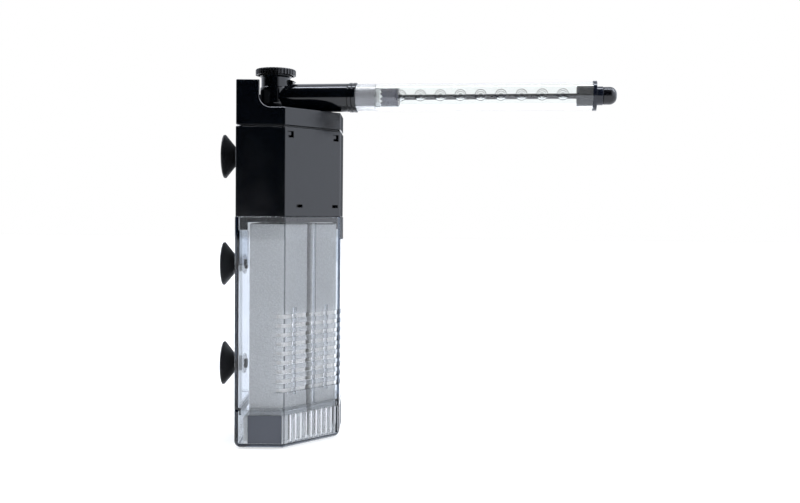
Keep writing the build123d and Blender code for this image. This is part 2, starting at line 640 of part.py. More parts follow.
def outlet_elbow():
    bowl_z = Z_DECK + PIPE_LIFT / 2
    barrel = post(BARREL_R, bowl_z, Z_BAR + BARREL_TOP)
    barrel = fillet(barrel.edges().group_by(Axis.Z)[0], BARREL_BOWL)
    barrel = fillet(barrel.edges().group_by(Axis.Z)[-1], BARREL_EASE)
    body = barrel + post(NECK_R, Z_BAR, Z_NECK)
    rim = post(NECK_RIM_R, Z_NECK - NECK_RIM_T, Z_NECK)
    body += chamfer(rim.edges().group_by(Axis.Z)[0], NECK_RIM_R - NECK_R)
    body += rod_x(PIPE_R, 0, PIPE_END, z=Z_BAR)
    body += rod_x(RING_NECK_R, 0, ELBOW_END, z=Z_BAR)
    for start in (RING_START, RING_START + RING_W + RING_GROOVE):
        body += rod_x(RING_R, start, start + RING_W, z=Z_BAR)
    body += post(SPIGOT_R, Z_DECK - SPIGOT_DROP, bowl_z + BARREL_BOWL)
    tab_z = Z_BAR + PIPE_R - TAB_SINK
    root = NECK_R - TAB_ROOT
    tab = Polyline((root, tab_z), (root, tab_z + TAB_H), (NECK_R + TAB_FLAT, tab_z + TAB_H),
                   (NECK_R + TAB_REACH, tab_z + TAB_TIP_H), (NECK_R + TAB_FOOT, tab_z), close=True)
    body += extrude(Plane.XZ * make_face(tab), TAB_W / 2, both=True)
    body -= post(SPIGOT_BORE_R, Z_DECK - SPIGOT_DROP - 1, Z_BAR + VANE_TOP + SEAT)
    body -= post(STEM_R + RUN, Z_BAR, Z_NECK + 1)
    body -= rod_x(PIPE_BORE_R, 0, ELBOW_END - ADAPTER_GRIP, z=Z_BAR)
    body -= rod_x(ADAPTER_R + RUN, ELBOW_END - ADAPTER_GRIP - SEAT, ELBOW_END + 1, z=Z_BAR)
    groove = seal_level()
    floor_r = SPIGOT_R - 2 * SEAL_R - RUN
    cut = post(SPIGOT_R + 1, groove - SEAL_SQUEEZE, groove + SEAL_SQUEEZE)
    body -= cut - post(floor_r - RUN, groove - 2 * SEAL_SQUEEZE, groove + 2 * SEAL_SQUEEZE)
    return one(on_bar(body))


def elbow_seal():
    ring = Torus(SPIGOT_R - SEAL_R, SEAL_R)
    return one(on_bar(Pos(0, 0, seal_level()) * ring))


def spray_adapter():
    start = ELBOW_END - ADAPTER_GRIP
    end = ELBOW_END + ADAPTER_REACH
    body = rod_x(ADAPTER_R, start, end, z=Z_BAR) - rod_x(ADAPTER_BORE_R, start - 1, end + 1, z=Z_BAR)
    return one(on_bar(body))


def flow_knob():
    z0 = Z_NECK + SEAT
    body = post(KNOB_R, z0, z0 + KNOB_H)
    body = fillet(body.edges().group_by(Axis.Z)[-1], KNOB_EASE)
    body -= post(KNOB_R - KNOB_SKIN, z0 - 1, z0 + KNOB_HOLLOW) - post(NECK_R, z0 - 2, z0 + KNOB_H)
    half = NOTCH_W / 2
    notch = block(KNOB_R - NOTCH_DEPTH, KNOB_R + 1, -half, half, z0 - 1, z0 + KNOB_H + 1)
    notch += block(KNOB_R - KNOB_SKIN - 1, KNOB_R + 1, -half, half, z0 - 1, z0 + KNOB_HOLLOW)
    for i in range(KNOB_NOTCHES):
        body -= Rot(0, 0, i * 360 / KNOB_NOTCHES) * notch
    return one(on_bar(body))


def throttle_vane():
    top = Z_BAR + VANE_TOP
    outer_r = SPIGOT_BORE_R - SEAT
    foot = Z_BAR - PIPE_BORE_R
    ring = post(outer_r, foot, top) - post(outer_r - VANE_T, foot - 1, top - VANE_T)
    ring &= block(-SIDE, 0, -SIDE, SIDE, 0, 2 * Z_BAR)
    body = ring + post(outer_r, top - VANE_T, top) + post(STEM_R, top - VANE_T, Z_NECK + SEAT)
    return one(on_bar(body))


def tube_collar():
    nose = TUBE_START + NOSE_L
    body = rod_x(TUBE_R + COLLAR_STEP, COLLAR_START, TUBE_START, z=Z_BAR)
    body += rod_x(TUBE_BORE_R - RUN, TUBE_START - JOIN, nose, z=Z_BAR)
    body -= rod_x(ADAPTER_R + RUN, COLLAR_START - 1, nose + 1, z=Z_BAR)
    return one(on_bar(body))


def spray_tube():
    body = rod_x(TUBE_R, TUBE_START, TUBE_END, z=Z_BAR)
    for i in range(NOZZLE_N):
        x = TUBE_START + NOZZLE_FIRST + i * NOZZLE_PITCH
        body += Pos(x, -TUBE_R, Z_BAR) * Rot(90, 0, 0) * Cylinder(NOZZLE_R, 2 * NOZZLE_RISE)
    body -= rod_x(TUBE_BORE_R, TUBE_START - 1, TUBE_END + 1, z=Z_BAR)
    for i in range(NOZZLE_N):
        x = TUBE_START + NOZZLE_FIRST + i * NOZZLE_PITCH
        tip = -TUBE_R - NOZZLE_RISE
        body -= Pos(x, tip, Z_BAR) * Rot(90, 0, 0) * Cylinder(NOZZLE_RIM_R, 2 * NOZZLE_RIM_DEPTH)
        body -= Pos(x, tip, Z_BAR) * Rot(90, 0, 0) * Cylinder(JET_R, TUBE_R)
    return one(on_bar(body))


def end_plug():
    flange_end = TUBE_END + FLANGE_L
    body = rod_x(TUBE_BORE_R - RUN, TUBE_END - PLUG_L, TUBE_END + JOIN, z=Z_BAR)
    body += rod_x(FLANGE_R, TUBE_END, flange_end, z=Z_BAR)
    body += rod_x(PLUG_NECK_R, flange_end - JOIN, NECK_END, z=Z_BAR)
    body -= rod_x(ROD_R + RUN, TUBE_END - PLUG_L - 1, NECK_END + 1, z=Z_BAR)
    return one(on_bar(body))


def flow_shuttle():
    end = SHUTTLE_START + SHUTTLE_L
    body = rod_x(SHUTTLE_R, SHUTTLE_START, end, z=Z_BAR)
    body -= rod_x(SHUTTLE_R - SHUTTLE_WALL, SHUTTLE_START - 1, end - 2 * SHUTTLE_WALL, z=Z_BAR)
    half = pi * SHUTTLE_R / TEETH
    valley = Polyline((SHUTTLE_START, -half), (SHUTTLE_START + TOOTH_L, 0), (SHUTTLE_START, half), close=True)
    gap = extrude(make_face(valley), 2 * SHUTTLE_R)
    for i in range(TEETH):
        body -= Pos(0, 0, Z_BAR) * Rot(i * 360 / TEETH, 0, 0) * gap
    return one(on_bar(body))


def control_rod():
    start = SHUTTLE_START + SHUTTLE_L
    return one(on_bar(rod_x(ROD_R, start, END_START + END_GRIP, z=Z_BAR)))


def end_knob():
    body = rod_x(END_R, END_START, END_START + END_L, z=Z_BAR)
    body = fillet(body.edges().group_by(Axis.X)[-1], END_DOME)
    body -= rod_x(ROD_R, END_START - 1, END_START + END_GRIP, z=Z_BAR)
    return one(on_bar(body))


def all_parts():
    low, high = CANISTER_CUPS
    head_cup = Z_JOINT + HEAD_CUP
    return {
        "intake_base": intake_base(),
        "canister_shell": canister_shell(),
        "foam_near": foam_half(-1),
        "foam_far": foam_half(1),
        "riser_tube": riser_tube(),
        "lower_left_cup": left_cup(low, 0),
        "upper_left_cup": left_cup(high, 0),
        "lower_back_cup": back_cup(low, 0),
        "upper_back_cup": back_cup(high, 0),
        "motor_housing": motor_housing(),
        "pump_cover": pump_cover(),
        "head_left_cup": left_cup(head_cup, HEAD_STEP),
        "head_back_cup": back_cup(head_cup, HEAD_STEP),
        "volute_housing": volute_housing(),
        "chamber_gasket": chamber_gasket(),
        "rotor_shaft": rotor_shaft(),
        "lower_bearing": lower_bearing(),
        "upper_bearing": upper_bearing(),
        "stator_core": stator_core(),
        "coil_near": coil(-1),
        "coil_far": coil(1),
        "potting_block": potting_block(),
        "cable_gland": cable_gland(),
        "strain_relief": strain_relief(),
        "rotor_magnet": rotor_magnet(),
        "impeller": impeller(),
        "outlet_elbow": outlet_elbow(),
        "elbow_seal": elbow_seal(),
        "spray_adapter": spray_adapter(),
        "flow_knob": flow_knob(),
        "throttle_vane": throttle_vane(),
        "spray_tube": spray_tube(),
        "tube_collar": tube_collar(),
        "end_plug": end_plug(),
        "flow_shuttle": flow_shuttle(),
        "control_rod": control_rod(),
        "end_knob": end_knob(),
    }


os.makedirs("parts", exist_ok=True)
for name, shape in all_parts().items():
    export_step(shape, f"parts/{name}.step")
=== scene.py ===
import json
from math import pi, radians

import bmesh
import bpy
from mathutils import Matrix, Vector


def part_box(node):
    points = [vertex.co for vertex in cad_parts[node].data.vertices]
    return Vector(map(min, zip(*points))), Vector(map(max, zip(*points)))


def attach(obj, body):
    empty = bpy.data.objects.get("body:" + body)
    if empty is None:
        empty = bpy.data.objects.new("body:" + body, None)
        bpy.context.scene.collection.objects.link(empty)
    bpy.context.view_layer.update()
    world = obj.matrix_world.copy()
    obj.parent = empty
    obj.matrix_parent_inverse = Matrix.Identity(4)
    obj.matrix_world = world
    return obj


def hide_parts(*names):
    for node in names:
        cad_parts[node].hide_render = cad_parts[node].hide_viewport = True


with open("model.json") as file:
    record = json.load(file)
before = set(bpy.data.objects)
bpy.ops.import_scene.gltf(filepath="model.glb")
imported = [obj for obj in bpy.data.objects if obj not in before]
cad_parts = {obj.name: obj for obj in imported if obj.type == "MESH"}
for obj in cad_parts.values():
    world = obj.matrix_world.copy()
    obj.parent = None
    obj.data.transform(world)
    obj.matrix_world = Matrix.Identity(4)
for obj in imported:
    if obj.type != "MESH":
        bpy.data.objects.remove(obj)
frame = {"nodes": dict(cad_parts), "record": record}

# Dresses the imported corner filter: foam, windings, clear and black mouldings, studio and camera.
# Everything is in metres in the frame's own axes: +X along the back wall, +Y to the back, +Z up.

mm = 0.001
nodes = frame["nodes"]
record = frame["record"]
bodyOf = {node: body for body, members in record["behaviour"]["bodies"].items() for node in members}
slotOf = {entry["node"]: entry["material_slot"] for entry in record["subparts"]}
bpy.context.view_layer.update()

# Camera and studio

viewpoint = {
    "place": (0.06227, -0.55004, 0.13816),
    "lens": 40.79,
    "sensor": 36.0,
    "lookDown": 0.0433,
    "lookRight": 0.0064,
    "lean": 0.0109,
}

studio = {
    "floorSize": 8.0,
    "floorColor": (0.9, 0.9, 0.9, 1),
    "floorOwnWhite": 0.62,
    "floorShare": 0.5,
    "rightPanel": 2.1,
    "rightFrom": (0.25, 0.7),     # how far round to +X the panel fades in
    "backWall": 1.0,
    "backFrom": (-0.15, 0.45),
    "backGap": 0.12,              # level straight behind, which keeps edge-on faces dark
    "gapFrom": (0.9, 0.99),
    "strip": 15.0,                # long lamp overhead
    "stripAt": 0.03,
    "stripHalf": 0.10,
    "stripCore": 0.6,             # share of its width at the full level
    "stripFrom": (0.35, 0.75),
    "darkSide": 0.004,
    "tint": (0.90, 0.95, 1.06, 1),
}


def makeCamera():
    data = bpy.data.cameras.new("camera")
    data.lens = viewpoint["lens"]
    data.sensor_width = viewpoint["sensor"]
    data.clip_start = 0.01
    camera = bpy.data.objects.new("camera", data)
    heading = Matrix.Rotation(-viewpoint["lookRight"], 4, "Z")
    tilt = Matrix.Rotation(pi / 2 - viewpoint["lookDown"], 4, "X")
    lean = Matrix.Rotation(viewpoint["lean"], 4, "Z")
    camera.matrix_world = Matrix.Translation(viewpoint["place"]) @ heading @ tilt @ lean
    bpy.context.scene.collection.objects.link(camera)
    bpy.context.scene.camera = camera


def addNode(tree, kind, inputs=None, **settings):
    node = tree.nodes.new(kind)
    for key, value in settings.items():
        setattr(node, key, value)
    for key, value in (inputs or {}).items():
        if isinstance(value, bpy.types.NodeSocket):
            tree.links.new(value, node.inputs[key])
        else:
            node.inputs[key].default_value = value
    return node


def mathNode(tree, operation, first, second=0.0):
    return addNode(tree, "ShaderNodeMath", {0: first, 1: second}, operation=operation).outputs[0]


def ramp(tree, value, low, high, start=0.0, end=1.0):
    inputs = {"Value": value, "From Min": low, "From Max": high, "To Min": start, "To Max": end}
    return addNode(tree, "ShaderNodeMapRange", inputs, interpolation_type="SMOOTHSTEP").outputs["Result"]


def seenRays(tree):
    rays = addNode(tree, "ShaderNodeLightPath").outputs
    seen = mathNode(tree, "MAXIMUM", rays["Is Camera Ray"], rays["Is Transmission Ray"])
    return seen, rays["Is Glossy Ray"]


def makeWorld():
    world = bpy.data.worlds.new("studio")
    world.use_nodes = True
    tree = world.node_tree
    tree.nodes.clear()
    towards = addNode(tree, "ShaderNodeTexCoord").outputs["Generated"]
    axis = addNode(tree, "ShaderNodeSeparateXYZ", {0: towards}).outputs
    right = ramp(tree, axis["X"], *studio["rightFrom"], 0.0, studio["rightPanel"])
    back = ramp(tree, axis["Y"], *studio["backFrom"], 0.0, studio["backWall"])
    gap = ramp(tree, axis["Y"], *studio["gapFrom"], 1.0, studio["backGap"])
    back = mathNode(tree, "MULTIPLY", back, gap)
    aside = mathNode(tree, "ABSOLUTE", mathNode(tree, "SUBTRACT", axis["Y"], studio["stripAt"]))
    core = studio["stripHalf"] * studio["stripCore"]
    across = ramp(tree, aside, core, studio["stripHalf"], studio["strip"], 0.0)
    top = mathNode(tree, "MULTIPLY", across, ramp(tree, axis["Z"], *studio["stripFrom"]))
    level = mathNode(tree, "ADD", mathNode(tree, "MAXIMUM", right, back), top)
    level = mathNode(tree, "ADD", level, studio["darkSide"])
    lit = addNode(tree, "ShaderNodeBackground", {"Color": studio["tint"], "Strength": level})
    white = addNode(tree, "ShaderNodeBackground", {"Color": (1, 1, 1, 1), "Strength": 1.0})
    seen = seenRays(tree)[0]
    mix = addNode(tree, "ShaderNodeMixShader", {0: seen, 1: lit.outputs[0], 2: white.outputs[0]})
    addNode(tree, "ShaderNodeOutputWorld", {"Surface": mix.outputs[0]})
    bpy.context.scene.world = world


def makeFloor():
    half = studio["floorSize"] / 2
    mesh = bpy.data.meshes.new("floor")
    corners = [(-half, -half, 0), (half, -half, 0), (half, half, 0), (-half, half, 0)]
    mesh.from_pydata(corners, [], [(0, 1, 2, 3)])
    floor = bpy.data.objects.new("floor", mesh)
    bpy.context.scene.collection.objects.link(floor)
    material = bpy.data.materials.new("floorPaper")
    material.use_nodes = True
    tree = material.node_tree
    tree.nodes.clear()
    paper = addNode(tree, "ShaderNodeBsdfDiffuse", {"Color": studio["floorColor"]}).outputs[0]
    own = addNode(tree, "ShaderNodeEmission", {"Strength": studio["floorOwnWhite"]}).outputs[0]
    black = addNode(tree, "ShaderNodeBsdfDiffuse", {"Color": (0, 0, 0, 1)}).outputs[0]
    shaded = addNode(tree, "ShaderNodeMixShader", {0: studio["floorShare"], 1: paper, 2: black}).outputs[0]
    bright = addNode(tree, "ShaderNodeAddShader", {0: shaded, 1: own}).outputs[0]
    seen, glossy = seenRays(tree)
    share = mathNode(tree, "MAXIMUM", seen, glossy)
    mix = addNode(tree, "ShaderNodeMixShader", {0: share, 1: paper, 2: bright}).outputs[0]
    addNode(tree, "ShaderNodeOutputMaterial", {"Surface": mix})
    mesh.materials.append(material)


makeCamera()
makeWorld()
makeFloor()
bpy.context.scene.view_settings.view_transform = "Standard"
print("studio ready")

# Shared shader effects


def newGroup(name, inputs, outputs):
    tree = bpy.data.node_groups.new(name, "ShaderNodeTree")
    for label, value in inputs.items():
        tree.interface.new_socket(label, in_out="INPUT", socket_type="NodeSocketFloat").default_value = value
    for label in outputs:
        tree.interface.new_socket(label, in_out="OUTPUT", socket_type="NodeSocketFloat")
    return tree, tree.nodes.new("NodeGroupInput").outputs, tree.nodes.new("NodeGroupOutput").inputs


def noise(tree, vector, scale, detail=2.0, roughness=0.5):
    inputs = {"Vector": vector, "Scale": scale, "Detail": detail, "Roughness": roughness}
    return addNode(tree, "ShaderNodeTexNoise", inputs).outputs["Fac"]


def makeMouldedGroup():
    # Flow waves, fine grain and a scatter of dust on moulded plastic
    tree, given, out = newGroup("mouldedSurface", {"Wave Scale": 60, "Grain Scale": 2500, "Dust Scale": 900},
                                ["Waves", "Grain", "Dust"])
    place = addNode(tree, "ShaderNodeTexCoord").outputs["Object"]
    tree.links.new(noise(tree, place, given["Wave Scale"]), out["Waves"])
    tree.links.new(noise(tree, place, given["Grain Scale"], 3.0, 0.6), out["Grain"])
    specks = addNode(tree, "ShaderNodeTexVoronoi", {"Vector": place, "Scale": given["Dust Scale"]})
    near = ramp(tree, specks.outputs["Distance"], 0.05, 0.16, 1.0, 0.0)
    patches = ramp(tree, noise(tree, place, 90, 2.0), 0.52, 0.7)
    tree.links.new(mathNode(tree, "MULTIPLY", near, patches), out["Dust"])
    return tree


def makeFoamGroup():
    # Open cells, and the fine level streaks that the wire leaves where foam is cut; the foam finish darkens
    # both as painted shade
    tree, given, out = newGroup("cutFoam", {"Cell Scale": 900, "Streak Scale": 1500, "Cloud Scale": 120},
                                ["Cells", "Streaks", "Clouds"])
    place = addNode(tree, "ShaderNodeTexCoord").outputs["Object"]
    grid = {"Vector": place, "Scale": given["Cell Scale"]}
    cells = addNode(tree, "ShaderNodeTexVoronoi", grid, feature="F1")
    tree.links.new(ramp(tree, cells.outputs["Distance"], 0.1, 0.7), out["Cells"])
    flat = addNode(tree, "ShaderNodeMapping", {"Vector": place, "Scale": (0.12, 0.12, 1.0)}).outputs[0]
    tree.links.new(noise(tree, flat, given["Streak Scale"], 3.0, 0.65), out["Streaks"])
    tree.links.new(noise(tree, place, given["Cloud Scale"], 4.0, 0.6), out["Clouds"])
    return tree


bodyPlan = {"shortFace": 29 * mm, "line": 0.35 * mm, "fade": 0.65 * mm}


def makeCornerShadeGroup():
    # Painted shade: thin dark upright lines where two faces of the clear body meet, in place of the dark
    # edges that refraction makes there
    tree, given, out = newGroup("cornerShadeLines", {"Line": bodyPlan["line"], "Fade": bodyPlan["fade"]}, ["Line"])
    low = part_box("canister_shell")[0]
    turnAt = low.x + bodyPlan["shortFace"]
    place = addNode(tree, "ShaderNodeTexCoord").outputs["Object"]
    flat = addNode(tree, "ShaderNodeVectorMath", {0: place, 1: (1, 1, 0)}, operation="MULTIPLY").outputs[0]
    nearest = None
    for corner in ((turnAt, low.y, 0), (-low.y, -turnAt, 0)):
        apart = addNode(tree, "ShaderNodeVectorMath", {0: flat, 1: corner}, operation="DISTANCE")
        away = apart.outputs["Value"]
        nearest = away if nearest is None else mathNode(tree, "MINIMUM", nearest, away)
    tree.links.new(ramp(tree, nearest, given["Line"], given["Fade"], 1.0, 0.0), out["Line"])
    return tree


cornerShadeGroup = makeCornerShadeGroup()
mouldedGroup = makeMouldedGroup()
foamGroup = makeFoamGroup()


def newMaterial(name):
    material = bpy.data.materials.new(name)
    material.use_nodes = True
    tree = material.node_tree
    shader = tree.nodes["Principled BSDF"]
    return material, tree, shader


def useGroup(tree, group, **inputs):
    node = addNode(tree, "ShaderNodeGroup", node_tree=group)
    for label, value in inputs.items():
        node.inputs[label.replace("_", " ")].default_value = value
    return node.outputs


def bump(tree, shader, height, distance, strength=1.0, under=None):
    inputs = {"Height": height, "Distance": distance, "Strength": strength}
    if under is not None:
        inputs["Normal"] = under
    normal = addNode(tree, "ShaderNodeBump", inputs).outputs["Normal"]
    tree.links.new(normal, shader.inputs["Normal"])
    return normal


def mixColor(tree, factor, first, second):
    node = addNode(tree, "ShaderNodeMix", data_type="RGBA")
    for socket, value in ((node.inputs[0], factor), (node.inputs[6], first), (node.inputs[7], second)):
        if isinstance(value, bpy.types.NodeSocket):
            tree.links.new(value, socket)
        else:
            socket.default_value = value if isinstance(value, float) else (*value[:3], 1)
    return node.outputs[2]


# Finishes, one dictionary for each

opaqueFinishes = {
    "black_plastic": {"color": (0.0012, 0.0018, 0.0028), "dust": (0.004, 0.005, 0.0065),
                      "rough": (0.09, 0.15), "wave": 0.00002, "grain": 0.0},
    "dark_plastic": {"color": (0.002, 0.002, 0.003), "dust": (0.006, 0.006, 0.008), "rough": (0.22, 0.32),
                     "wave": 0.00002, "grain": 0.00001},
    "cup_rubber": {"color": (0.011, 0.011, 0.012), "dust": (0.045, 0.045, 0.045), "rough": (0.42, 0.58),
                   "wave": 0.00006, "grain": 0.00002},
    "seal_rubber": {"color": (0.02, 0.02, 0.02), "dust": (0.05, 0.05, 0.05), "rough": (0.5, 0.65),
                    "wave": 0.00003, "grain": 0.00002},
    "shaft_ceramic": {"color": (0.83, 0.82, 0.78), "dust": (0.7, 0.68, 0.62), "rough": (0.12, 0.2),
                      "wave": 0.0, "grain": 0.00001},
    "potting_resin": {"color": (0.035, 0.035, 0.04), "dust": (0.08, 0.08, 0.085), "rough": (0.25, 0.45),
                      "wave": 0.00012, "grain": 0.0},
    "magnet_ferrite": {"color": (0.05, 0.05, 0.055), "dust": (0.1, 0.1, 0.1), "rough": (0.4, 0.6),
                       "wave": 0.0, "grain": 0.00002},
    "white_plastic": {"color": (0.76, 0.76, 0.73), "dust": (0.6, 0.6, 0.56), "rough": (0.3, 0.42),
                      "wave": 0.00002, "grain": 0.00001},
    "grey_plastic": {"color": (0.006, 0.008, 0.014), "dust": (0.015, 0.016, 0.02), "rough": (0.16, 0.25),
                     "wave": 0.00002, "grain": 0.0},
    "plate_grey": {"color": (0.062, 0.068, 0.082), "dust": (0.075, 0.08, 0.092), "rough": (0.3, 0.4),
                   "wave": 0.00001, "grain": 0.0},
    "light_grey_plastic": {"color": (0.11, 0.11, 0.145), "dust": (0.2, 0.2, 0.22), "rough": (0.16, 0.25),
                           "wave": 0.00002, "grain": 0.0},
}

clearFinishes = {
    "clear_plastic": {"color": (0.965, 0.985, 0.985), "rough": 0.025, "ior": 1.49, "pass": 1.0,
                      "wave": 0.00003},
    # The smoke plastic's corner colour is a painted shade for its dark upright corner lines
    "smoke_plastic": {"color": (0.96, 0.97, 0.98), "rough": 0.03, "ior": 1.5, "pass": 1.0, "wave": 0.00003,
                      "tint": (0.66, 0.70, 0.75), "depth": 230, "corner": (0.12, 0.125, 0.14)},
    "milky_plastic": {"color": (0.90, 0.92, 0.93), "rough": 0.22, "ior": 1.49, "pass": 0.9, "wave": 0.00002},
    "tan_plastic": {"color": (0.36, 0.335, 0.36), "rough": 0.2, "ior": 1.49, "pass": 0.55, "wave": 0.00002},
}


def makeOpaque(slot):
    look = opaqueFinishes[slot]
    material, tree, shader = newMaterial(slot)
    surface = useGroup(tree, mouldedGroup)
    tint = mixColor(tree, surface["Dust"], look["color"], look["dust"])
    tree.links.new(tint, shader.inputs["Base Color"])
    tree.links.new(ramp(tree, surface["Waves"], 0.3, 0.7, *look["rough"]), shader.inputs["Roughness"])
    wavy = bump(tree, shader, surface["Waves"], look["wave"]) if look["wave"] else None
    if look["grain"]:
        bump(tree, shader, surface["Grain"], look["grain"], under=wavy)
    return material


def makeClear(slot):
    look = clearFinishes[slot]
    material, tree, shader = newMaterial(slot)
    surface = useGroup(tree, mouldedGroup)
    shade = tuple(channel * 0.97 for channel in look["color"])
    tint = mixColor(tree, surface["Waves"], look["color"], shade)
    # Painted shade: a darker colour along the upright corners of the clear body
    if "corner" in look:
        shadeLines = useGroup(tree, cornerShadeGroup)["Line"]
        tint = mixColor(tree, shadeLines, tint, look["corner"])
    tree.links.new(tint, shader.inputs["Base Color"])
    rough = ramp(tree, surface["Dust"], 0.0, 1.0, look["rough"], look["rough"] + 0.08)
    tree.links.new(rough, shader.inputs["Roughness"])
    shader.inputs["IOR"].default_value = look["ior"]
    shader.inputs["Transmission Weight"].default_value = look["pass"]
    bump(tree, shader, surface["Waves"], look["wave"])
    if "tint" in look:
        inside = {"Color": (*look["tint"], 1), "Density": look["depth"]}
        body = addNode(tree, "ShaderNodeVolumeAbsorption", inside).outputs[0]
        tree.links.new(body, tree.nodes["Material Output"].inputs["Volume"])
    return material


# pore is a painted shade colour: it darkens the sunken parts of the cells and the level streaks
foamLook = {"light": (0.93, 0.92, 0.895), "pore": (0.80, 0.79, 0.765), "streak": 0.3, "depth": 0.00015}


def makeFoamMaterial(slot):
    material, tree, shader = newMaterial(slot)
    cut = useGroup(tree, foamGroup)
    # Painted shade in the sunken cells and along the streaks
    pores = mixColor(tree, cut["Cells"], foamLook["light"], foamLook["pore"])
    streaks = ramp(tree, cut["Streaks"], 0.4, 0.65, 0.0, foamLook["streak"])
    tint = mixColor(tree, streaks, pores, foamLook["pore"])
    tree.links.new(tint, shader.inputs["Base Color"])
    shader.inputs["Roughness"].default_value = 0.95
    shader.inputs["Specular IOR Level"].default_value = 0.15
    height = mathNode(tree, "SUBTRACT", cut["Clouds"], cut["Cells"])
    bump(tree, shader, height, foamLook["depth"])
    return material


metalLook = {
    "core_steel": {"color": (0.32, 0.32, 0.33), "dark": (0.16, 0.155, 0.15),
                   "rough": (0.35, 0.55), "scale": 500},
    "copper_wire": {"color": (0.62, 0.24, 0.10), "dark": (0.38, 0.13, 0.05),
                    "rough": (0.2, 0.35), "scale": 300},
}


def makeMetal(slot):
    look = metalLook[slot]
    material, tree, shader = newMaterial(slot)
    surface = useGroup(tree, mouldedGroup, Wave_Scale=look["scale"])
    tint = mixColor(tree, surface["Waves"], look["color"], look["dark"])
    tree.links.new(tint, shader.inputs["Base Color"])
    tree.links.new(ramp(tree, surface["Grain"], 0.3, 0.7, *look["rough"]), shader.inputs["Roughness"])
    shader.inputs["Metallic"].default_value = 1.0
    bump(tree, shader, surface["Grain"], 0.00001)
    return material


makers = {"filter_foam": makeFoamMaterial}
makers.update({slot: makeOpaque for slot in opaqueFinishes})
makers.update({slot: makeClear for slot in clearFinishes})
makers.update({slot: makeMetal for slot in metalLook})
materials = {slot: make(slot) for slot, make in makers.items()}
print("materials ready:", len(materials))

# Mesh and geometry-node helpers


def adopt(piece, node, *others):
    # Put a finished piece in a CAD node's place, on its body and with its finish
    piece.data.materials.clear()
    piece.data.materials.append(materials[slotOf[node]])
    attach(piece, bodyOf[node])
    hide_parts(node, *others)
    return piece


def addPiece(name, mesh):
    piece = bpy.data.objects.new(name, mesh)
    bpy.context.scene.collection.objects.link(piece)
    return piece


def cleanCopy(name, node, flat=0.4):
    # The node's own surface with its loose triangles joined and flat areas made whole
    mesh = nodes[node].data.copy()
    mesh.materials.clear()
    work = bmesh.new()
    work.from_mesh(mesh)
    bmesh.ops.remove_doubles(work, verts=work.verts, dist=0.002 * mm)
    if flat:
        bmesh.ops.dissolve_limit(work, angle_limit=radians(flat), verts=work.verts, edges=work.edges)
    work.to_mesh(mesh)
    work.free()
    return addPiece(name, mesh)


def frozen(piece):
    # Replace the piece's mesh by what its modifiers make of it
    view = bpy.context.evaluated_depsgraph_get()
    made = piece.evaluated_get(view)
    mesh = bpy.data.meshes.new_from_object(made, preserve_all_data_layers=True, depsgraph=view)
    piece.modifiers.clear()
    piece.data = mesh
    return piece


def softEdges(piece, width, segments=2, angle=32):
    edge = piece.modifiers.new("softEdges", "BEVEL")
    edge.width = width
    edge.segments = segments
    edge.limit_method = "ANGLE"
    edge.angle_limit = radians(angle)
    piece.data.shade_smooth()
    level = piece.modifiers.new("levelFaces", "WEIGHTED_NORMAL")
    level.weight = 100
    return frozen(piece)


def geometryTree(name, inputs):
    tree = bpy.data.node_groups.new(name, "GeometryNodeTree")
    tree.interface.new_socket("Geometry", in_out="INPUT", socket_type="NodeSocketGeometry")
    for label, value in inputs.items():
        kind = "NodeSocketMaterial" if label == "Material" else "NodeSocketFloat"
        kind = "NodeSocketInt" if isinstance(value, int) else kind
        socket = tree.interface.new_socket(label, in_out="INPUT", socket_type=kind)
        if label != "Material":
            socket.default_value = value
    tree.interface.new_socket("Geometry", in_out="OUTPUT", socket_type="NodeSocketGeometry")
    return tree, tree.nodes.new("NodeGroupInput").outputs, tree.nodes.new("NodeGroupOutput").inputs[0]


def endTree(tree, geometry, material, out):
    real = addNode(tree, "GeometryNodeRealizeInstances", {"Geometry": geometry}).outputs[0]
    painted = addNode(tree, "GeometryNodeSetMaterial", {"Geometry": real, "Material": material}).outputs[0]
    tree.links.new(painted, out)


def applyTree(piece, tree, values):
    nodesModifier = piece.modifiers.new(tree.name, "NODES")
    nodesModifier.node_group = tree
    for item in tree.interface.items_tree:
        if item.in_out == "INPUT" and item.name in values:
            nodesModifier[item.identifier] = values[item.name]
    return frozen(piece)


# Filter foam

foamPieces = {
    "nodes": {"foamNear": "foam_near", "foamFar": "foam_far"},
    "voxel": 0.9 * mm,
    "sink": 0.35 * mm,
    "lumpScale": 160.0,
    "poreScale": 700.0,
    "lump": 0.35 * mm,
    "pore": 0.30 * mm,
}


def makeFoamTree():
    tree, given, out = geometryTree("openCells", {"Lump Scale": foamPieces["lumpScale"],
                                                  "Pore Scale": foamPieces["poreScale"],
                                                  "Lump": foamPieces["lump"], "Pore": foamPieces["pore"],
                                                  "Sink": foamPieces["sink"], "Material": None})
    place = addNode(tree, "GeometryNodeInputPosition").outputs[0]
    normal = addNode(tree, "GeometryNodeInputNormal").outputs[0]
    lumps = addNode(tree, "ShaderNodeTexNoise", {"Vector": place, "Scale": given["Lump Scale"]})
    lumps = lumps.outputs["Fac"]
    cells = addNode(tree, "ShaderNodeTexVoronoi", {"Vector": place, "Scale": given["Pore Scale"]})
    reach = cells.outputs["Distance"]
    lumpy = mathNode(tree, "MULTIPLY", mathNode(tree, "SUBTRACT", lumps, 0.5), given["Lump"])
    pores = mathNode(tree, "MULTIPLY", mathNode(tree, "SUBTRACT", reach, 0.5), given["Pore"])
    shift = mathNode(tree, "SUBTRACT", mathNode(tree, "SUBTRACT", lumpy, pores), given["Sink"])
    offset = addNode(tree, "ShaderNodeVectorMath", {0: normal, "Scale": shift}, operation="SCALE").outputs[0]
    shifted = {"Geometry": given["Geometry"], "Offset": offset}
    moved = addNode(tree, "GeometryNodeSetPosition", shifted).outputs[0]
    endTree(tree, moved, given["Material"], out)
    return tree


